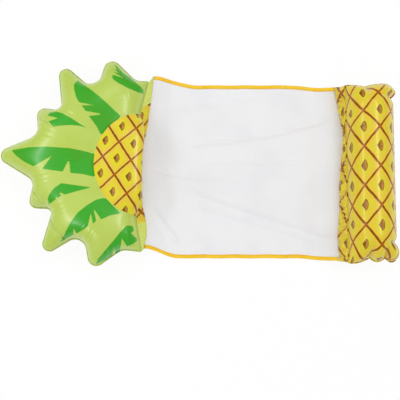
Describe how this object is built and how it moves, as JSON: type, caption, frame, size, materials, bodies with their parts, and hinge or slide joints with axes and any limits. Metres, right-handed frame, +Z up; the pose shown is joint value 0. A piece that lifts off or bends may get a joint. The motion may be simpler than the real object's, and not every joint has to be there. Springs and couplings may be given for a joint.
{
  "type": "floating air lounger",
  "caption": "Floating water hammock: an inflated leafy-crown head cushion and an inflated foot bolster joined by a sheet of white net with bound edges.",
  "frame": {"origin": "middle of the lounger's bounding box, on the surface that it lies on", "axes": "+X from head cushion to foot bolster along the length, +Y across to the user's right as the user lies on it face up, +Z up"},
  "size_m": [1.3156, 0.6826, 0.1544],
  "materials": {
    "printed_green_film": "glossy printed soft PVC film, light green with darker green blades",
    "printed_yellow_film": "glossy printed soft PVC film, yellow with a brown lattice",
    "plain_film": "glossy soft PVC film",
    "clear_film": "clear soft PVC film",
    "white_net": "fine white polyester net",
    "binding_tape": "woven orange-yellow tape",
    "sewing_thread": "twisted polyester thread",
    "clear_valve": "clear moulded soft PVC"
  },
  "bodies": {
    "head_cushion": {"head_top_film": "printed_green_film", "head_bottom_film": "plain_film", "head_tie_strip": "clear_film", "head_flap": "printed_green_film", "head_sewing_thread": "sewing_thread", "head_valve_base": "clear_valve"},
    "net_head": {"net_head_panel": "white_net", "binding_right_head": "binding_tape", "binding_left_head": "binding_tape", "binding_thread_right_head": "sewing_thread", "binding_thread_left_head": "sewing_thread"},
    "net_foot": {"net_foot_panel": "white_net", "binding_right_foot": "binding_tape", "binding_left_foot": "binding_tape", "binding_thread_right_foot": "sewing_thread", "binding_thread_left_foot": "sewing_thread"},
    "foot_bolster": {"foot_top_film": "printed_yellow_film", "foot_bottom_film": "plain_film", "foot_flap": "printed_yellow_film", "foot_sewing_thread": "sewing_thread", "foot_valve_base": "clear_valve"},
    "head_valve_stem": {"head_valve_stem": "clear_valve"},
    "head_valve_plug": {"head_valve_plug": "clear_valve"},
    "head_valve_check_flap": {"head_valve_check_flap": "clear_valve"},
    "foot_valve_stem": {"foot_valve_stem": "clear_valve"},
    "foot_valve_plug": {"foot_valve_plug": "clear_valve"},
    "foot_valve_check_flap": {"foot_valve_check_flap": "clear_valve"}
  },
  "joints": [
    {"name": "head_fold", "type": "hinge", "parent": "head_cushion", "child": "net_head", "pos_m": [-0.15528, -0.01161, 0.0296], "axis": [-0.0333, -0.9994, 0], "range_deg": [-45, 75]},
    {"name": "net_fold", "type": "hinge", "parent": "net_head", "child": "net_foot", "pos_m": [0.15077, -0.01972, 0.0012], "axis": [0, -1, 0], "range_deg": [-60, 90]},
    {"name": "foot_fold", "type": "hinge", "parent": "net_foot", "child": "foot_bolster", "pos_m": [0.46077, -0.03722, 0.0296], "axis": [0, -1, 0], "range_deg": [-45, 75]},
    {"name": "head_valve_push", "type": "slide", "parent": "head_cushion", "child": "head_valve_stem", "axis": [0, 0, 1], "range_m": [0, 0.006]},
    {"name": "head_plug_swing", "type": "hinge", "parent": "head_valve_stem", "child": "head_valve_plug", "pos_m": [-0.43078, -0.02196, 0.0129], "axis": [0.9973, -0.0732, 0], "range_deg": [0, 130]},
    {"name": "head_check_flap_lift", "type": "hinge", "parent": "head_valve_stem", "child": "head_valve_check_flap", "pos_m": [-0.43105, -0.02565, 0.0367], "axis": [-0.9973, 0.0732, 0], "range_deg": [0, 60], "stiffness_Nm_per_rad": 0.0002},
    {"name": "foot_valve_push", "type": "slide", "parent": "foot_bolster", "child": "foot_valve_stem", "axis": [0, 0, 1], "range_m": [0, 0.006]},
    {"name": "foot_plug_swing", "type": "hinge", "parent": "foot_valve_stem", "child": "foot_valve_plug", "pos_m": [0.56277, 0.11228, 0.0129], "axis": [1, 0, 0], "range_deg": [0, 130]},
    {"name": "foot_check_flap_lift", "type": "hinge", "parent": "foot_valve_stem", "child": "foot_valve_check_flap", "pos_m": [0.56277, 0.10858, 0.0367], "axis": [-1, 0, 0], "range_deg": [0, 60], "stiffness_Nm_per_rad": 0.0002}
  ]
}
